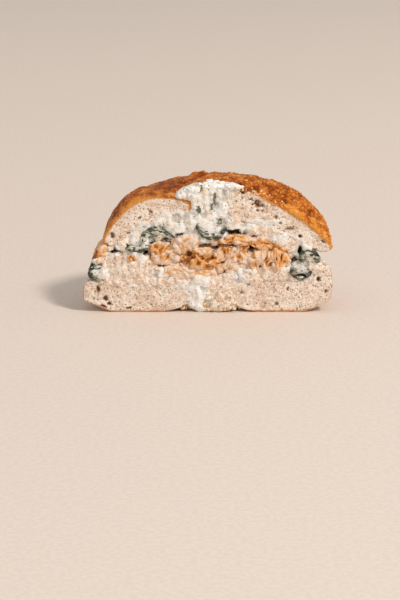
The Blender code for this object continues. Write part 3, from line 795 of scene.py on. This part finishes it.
def pepperMove(x, z, bend, thick, inward, seed):
    def move(q, n):
        front = onCut(q, n, 1.6, 1.0, 0.3)
        wrinkle = stretched(q, (1.8, 5.0, 1.8), seed) + 0.5 * wave(q, 1.2, seed)
        rise = 0.45 * wrinkle + 0.95 * wave(q, 3.2, seed + 2)
        across = (bend - math.hypot(q.x - x, q.z - z)) / thick
        inner = 0.5 + across + 0.7 * wave(q, 3.0, seed + 6)
        creamy = 0.75 * front * spot(q, pepperShape["creamy"])
        film = -0.1 + 0.5 * wave(q, 3.0, seed + 3) + creamy
        out = n * rise + cutFlat(q, n, 0.2)
        out.x += inward
        # the deep mark paints shade into the hollows
        dark = front * spot(q + out, pepperShape["hollows"])
        out.y += pepperShape["hollowDepth"] * dark
        return out, inner, film, dark

    return move


print("green pepper")
roastedPepper = pepperFinish()
for count, (node, values) in enumerate(pepperShape["strips"].items()):
    strip = grain(newPiece(node + "_strip", looseCopy(node)), pepperShape["voxel"], 2)
    sculpt(strip, ("inner", "film", "deep"), pepperMove(*values, 2.9 * count + 0.7))
    finishPiece(strip, roastedPepper, "pepper", node)


def addBit(bm, place, sizes, turn, rounds=2):  # one stretched ball, later roughened by sculpt
    stretch = Matrix.Diagonal((*sizes, 1))
    matrix = Matrix.Translation(place) @ turn.to_matrix().to_4x4() @ stretch
    bmesh.ops.create_icosphere(bm, subdivisions=rounds, radius=1.0, matrix=matrix)


def anyTurn():
    return Euler([chance.uniform(0, math.tau) for _ in range(3)])


def anySizes(limits):
    return [chance.uniform(*limit) for limit in limits]


scrapShape = {
    "fillers": (  # x, z, radius of chicken scraps squeezed between the slices
        (-27.6, 25.0, 2.4), (-14.4, 25.2, 2.8), (-13.5, 21.8, 2.2), (-8.5, 33.6, 1.8),
        (-3.0, 34.0, 2.2), (3.6, 33.4, 2.2), (4.6, 27.2, 2.4), (5.5, 20.6, 2.6),
        (11.0, 19.6, 2.2),
        (19.4, 26.4, 2.4), (21.4, 33.8, 2.2), (38.4, 27.0, 2.2), (20.0, 20.4, 2.0),
        (-17.0, 35.4, 1.8), (27.0, 30.0, 3.0), (-16.5, 22.0, 2.4), (-28.0, 22.0, 2.0),
        (-27.6, 31.4, 1.6), (-16.8, 27.0, 1.8), (-22.4, 24.0, 1.9),
    ),
    "shreds": (  # middle x and z, spread in x and z, lean of the shreds, how many
        (-25.2, 22.0, 2.2, 2.0, 45, 12), (33.0, 26.0, 4.0, 4.0, 85, 18),
        (-34.8, 25.2, 2.4, 1.0, -35, 9), (-5.0, 23.5, 5.0, 2.0, 20, 9),
        (17.0, 30.0, 4.0, 2.0, 60, 8), (-21.0, 28.0, 4.0, 3.0, 60, 10),
        (25.0, 32.5, 5.0, 2.0, -20, 8), (10.0, 34.5, 6.0, 1.2, 5, 6),
    ),
    "shredSizes": ((0.28, 0.5), (0.3, 0.55), (0.9, 1.9)),  # half thickness, width and length
    "lumps": ((0.5, 2.2, 4), (0.2, 0.8, 5)),  # height, size, shift
}
scraps = bmesh.new()
for x, z, radius in scrapShape["fillers"]:
    place = Vector((x, cutY + radius * 0.8 + 0.6, z))
    addBit(scraps, place, (radius, radius * 1.3, radius), anyTurn(), 4)
for x, z, across, up, lean, count in scrapShape["shreds"]:
    for _ in range(count):
        place = Vector((chance.gauss(x, across / 2), cutY, chance.gauss(z, up / 2)))
        place.y += chance.uniform(0.0, 0.8)
        turn = Euler((0, math.radians(90 - lean + chance.uniform(-25, 25)), 0))
        addBit(scraps, place, anySizes(scrapShape["shredSizes"]), turn)


def scrapMove(q, n):
    seasoned = 0.12 + spot(q, chickenShape["seasoned"]) * 0.9
    lump = waves(q, scrapShape["lumps"])
    return n * lump, seasoned, 0.0, 0.5 + wave(q, 1.0, 2)


print("loose bits")
scrapPiece = newPiece("chicken_scraps", scraps)
sculpt(scrapPiece, ("rub", "deep", "strand"), scrapMove)
finishPiece(scrapPiece, seasonedChicken, "meat")

cheeseTree, topTree = treeOf(cheeseSkin), treeOf(topSkin)
lookingDown = Vector((0, 0.966, -0.259))  # from in front and 15 degrees above


def landOn(tree, x, z):  # the point and the normal met on the way down to the cut at x, z
    aim = Vector((x, cutY, z))
    point, normal, _, _ = tree.ray_cast(aim - lookingDown * 25, lookingDown, 60)
    return point, normal


def scatter(bm, tree, areas, limits, rounds=2, lift=0.0):  # bits laid flat on a surface
    for x, z, across, up, count in areas:
        for _ in range(count):
            point, normal = landOn(tree, chance.gauss(x, across), chance.gauss(z, up))
            if point is None:
                continue
            turn = normal.to_track_quat("Z", "Y")
            turn = turn @ Euler((0, 0, chance.uniform(0, math.tau))).to_quaternion()
            addBit(bm, point + normal * lift, anySizes(limits), turn, rounds)


herbShape = {
    "places": (  # x, z, spread in x and z, how many
        (3.4, 54.0, 0.5, 2.8, 16), (2.0, 50.5, 0.5, 1.2, 8), (-3.7, 48.5, 0.9, 1.2, 14),
        (5.6, 43.0, 1.2, 1.4, 12), (-3.2, 59.5, 1.2, 0.8, 10), (2.0, 60.0, 4.0, 1.0, 8),
        (-20.0, 41.0, 5.0, 1.5, 5), (-41.0, 23.0, 3.0, 2.5, 6), (35.0, 37.0, 3.0, 1.5, 6),
        (10.0, 14.0, 6.0, 4.0, 5), (27.0, 20.0, 5.0, 2.0, 6), (-20.0, 17.5, 6.0, 1.5, 4),
    ),
    "sizes": ((0.22, 0.65), (0.14, 0.32), (0.08, 0.16)),  # half length, width and thickness
    "lift": 0.05,
    "dark": (0.04, 0.05, 0.022),
    "light": (0.22, 0.23, 0.12),
}


def herbFinish():
    look = Finish("herb_green", {"Specular IOR Level": 0.3})
    tint = look.clouds(0.8, 2, 0.6)
    green = look.mix(look.fade(tint, 0.35, 0.65), herbShape["dark"], herbShape["light"])
    look.give(Base_Color=green, Roughness=look.fade(tint, 0.3, 0.7, 0.4, 0.7))
    return look


herbs = bmesh.new()
scatter(herbs, cheeseTree, herbShape["places"], herbShape["sizes"], 1, herbShape["lift"])
herbPiece = newPiece("herb_flecks", herbs)
sculpt(herbPiece, (), lambda q, n: (n * 0.06 * wave(q, 0.5),))
finishPiece(herbPiece, herbFinish(), "cheese")

smearShape = {
    "voxel": 0.30,
    "highest": 60.8,  # dabs are pressed down above this
    "lumps": ((1.0, 1.6, 3), (0.5, 0.8, 6)),  # share of the relief, size, shift
    "relief": 0.25,
    "crust": (  # x, z, spread in x and z, how many dabs of cheese on the crust
        (-10.0, 55.6, 1.8, 0.9, 12), (12.5, 59.0, 2.0, 0.7, 10), (3.0, 61.6, 3.6, 0.6, 14),
        (-7.0, 58.6, 1.6, 0.9, 6),
    ),
    "sizes": ((0.9, 2.1), (0.7, 1.4), (0.35, 0.6)),  # half length, width and thickness
    "lift": 0.05,
    "cut": (  # x, z, radius of the dabs on the cut face
        (-46.8, 27.6, 1.5), (-45.2, 30.0, 1.3), (-47.6, 25.4, 1.4), (-43.6, 30.6, 1.0),
        (0.8, 6.8, 1.5), (0.4, 8.6, 1.2), (13.4, 16.4, 1.3), (13.0, 18.0, 1.1),
    ),
}


def smearMove(q, n):
    lump = waves(q, smearShape["lumps"])
    shift = n * smearShape["relief"] * lump
    shift.z -= 0.8 * max(q.z - smearShape["highest"], 0)
    beige = 0.55 * ease(-q.x, 30, 40)
    # the dabs' low parts are painted darker as shade through the dip mark
    return shift, 0.4 - 0.6 * lump, beige, 0.5 * ease(wave(q, 2.0, 8), 0.15, 0.4)


smears = bmesh.new()
for tree in (topTree, cheeseTree):
    scatter(smears, tree, smearShape["crust"], smearShape["sizes"], 3, smearShape["lift"])
for x, z, radius in smearShape["cut"]:
    addBit(smears, Vector((x, cutY + 0.9, z)), (radius, 1.2, radius * 1.2), anyTurn(), 3)
smearPiece = grain(newPiece("cheese_smears", smears), smearShape["voxel"], 4)
sculpt(smearPiece, ("dip", "crumbs", "herbs"), smearMove)
finishPiece(smearPiece, herbCheese, "cheese")

crumbShape = {
    "torn": (  # x, z, spread in x and z, how many crumbs on the torn bread
        (18.0, 56.0, 4.0, 1.0, 34), (27.0, 51.0, 3.0, 1.0, 14), (11.0, 52.0, 1.6, 3.0, 16),
    ),
    "tornSizes": ((0.35, 0.9), (0.3, 0.6), (0.25, 0.5)),  # half length, width and thickness
    "heaps": (  # x from and to, z from and to, depth from and to, largest crumb, how many
        (-13.0, 17.0, 0.8, 6.5, 1.6, 4.5, 1.5, 130), (-1.0, 13.0, 0.9, 9.0, -0.9, 0.3, 0.95, 50),
    ),
    "smallest": 0.5,
    "lumps": ((1.0, 1.3, 2), (0.5, 0.6, 4)),  # share of the relief, size, shift
    "relief": 0.35,
    "beige": ((0.76, 0.54, 0.37), (0.90, 0.75, 0.60)),
    "golden": ((0.62, 0.34, 0.11), (0.84, 0.62, 0.33)),
}


def crumbMove(q, n):
    lump = waves(q, crumbShape["lumps"])
    golden = 0.25 + 0.25 * ease(14 - q.z, 0, 3) + 0.9 * wave(q, 3.0, 6)
    # the low parts of each crumb are painted darker as shade
    return n * crumbShape["relief"] * lump, golden, 0.5 - lump


def crumbFinish():
    look = Finish("cheesy_crumb", {"Specular IOR Level": 0.35})
    golden, pitShade = look.mark("golden"), look.mark("pitShade")
    dust = look.clouds(0.8, 3, 0.6, 1.1)
    patchy = look.fade(dust, 0.4, 0.6)
    colour, rich = look.mix(patchy, *crumbShape["beige"]), look.mix(patchy, *crumbShape["golden"])
    colour = look.mix(look.fade(golden + (dust - 0.5), 0.2, 0.8), colour, rich)
    # the crumbs' hollows are painted the pore colour as shade
    colour = look.mix(look.fade(pitShade + (dust - 0.5) * 0.8, 0.7, 1.2), colour, crumbLook["pore"])
    look.give(Base_Color=colour, Roughness=look.fade(dust, 0.3, 0.7, 0.6, 0.85))
    return look


crumbs = bmesh.new()
scatter(crumbs, topTree, crumbShape["torn"], crumbShape["tornSizes"])
for left, right, low, high, near, far, largest, count in crumbShape["heaps"]:
    for _ in range(count):
        size = chance.uniform(crumbShape["smallest"], largest)
        x, z = chance.uniform(left, right), chance.triangular(low, high, low)
        sizes = [size * chance.uniform(0.7, 1.2) for _ in range(3)]
        place = Vector((x, cutY + chance.uniform(near, far), max(z, size * 1.25)))
        addBit(crumbs, place, sizes, anyTurn(), 2 if size > 0.8 else 1)
crumbPiece = newPiece("cheesy_crumbs", crumbs)
sculpt(crumbPiece, ("golden", "pitShade"), crumbMove)
finishPiece(crumbPiece, crumbFinish(), "crumb")

print("stage")
floorShape = {  # the stage's sizes and places are in metres
    "size": 4.0,
    "tints": ((0.70, 0.60, 0.525), (0.74, 0.64, 0.565)),
}
sheet = bmesh.new()
bmesh.ops.create_grid(sheet, x_segments=2, y_segments=2, size=floorShape["size"])
ground = newPiece("floor", sheet)
floorLook = Finish("pale_floor", {"Roughness": 0.75, "Specular IOR Level": 0.25})
speckle = floorLook.fade(floorLook.clouds(2.0, 3, 0.7), 0.4, 0.6)
floorLook.give(Base_Color=floorLook.mix(speckle, *floorShape["tints"]))
ground.data.materials.append(floorLook.material)

light = {
    "place": (1.76, -1.45, 2.31),
    "power": 72.0,
    "size": 0.45,
    "tint": (1.0, 0.95, 0.89),
    "sky": (0.92, 0.905, 0.885),
    "skyPower": 0.655,
}
lamp = bpy.data.lights.new("window", "AREA")
lamp.energy, lamp.size, lamp.color = light["power"], light["size"], light["tint"]
window = bpy.data.objects.new("window", lamp)
bpy.context.scene.collection.objects.link(window)
window.location = light["place"]
window.rotation_euler = Vector(light["place"]).to_track_quat("Z", "Y").to_euler()
room = bpy.data.worlds.new("room")
room.use_nodes = True
room.node_tree.nodes["Background"].inputs["Color"].default_value = (*light["sky"], 1)
room.node_tree.nodes["Background"].inputs["Strength"].default_value = light["skyPower"]
bpy.context.scene.world = room
bpy.context.scene.view_settings.view_transform = "Standard"

view = {
    "aim": (-0.0032, -0.0285, 0.0058),
    "rise": 15,  # degrees above level
    "away": 0.85,
    "lens": 73.4,
    "sensor": 24,
}
cameraData = bpy.data.cameras.new("camera")
cameraData.lens, cameraData.sensor_height = view["lens"], view["sensor"]
cameraData.sensor_fit = "VERTICAL"
camera = bpy.data.objects.new("camera", cameraData)
bpy.context.scene.collection.objects.link(camera)
rise = math.radians(view["rise"])
back = Vector((0, -math.cos(rise), math.sin(rise)))
camera.location = Vector(view["aim"]) + back * view["away"]
camera.rotation_euler = (-back).to_track_quat("-Z", "Y").to_euler()
bpy.context.scene.camera = camera
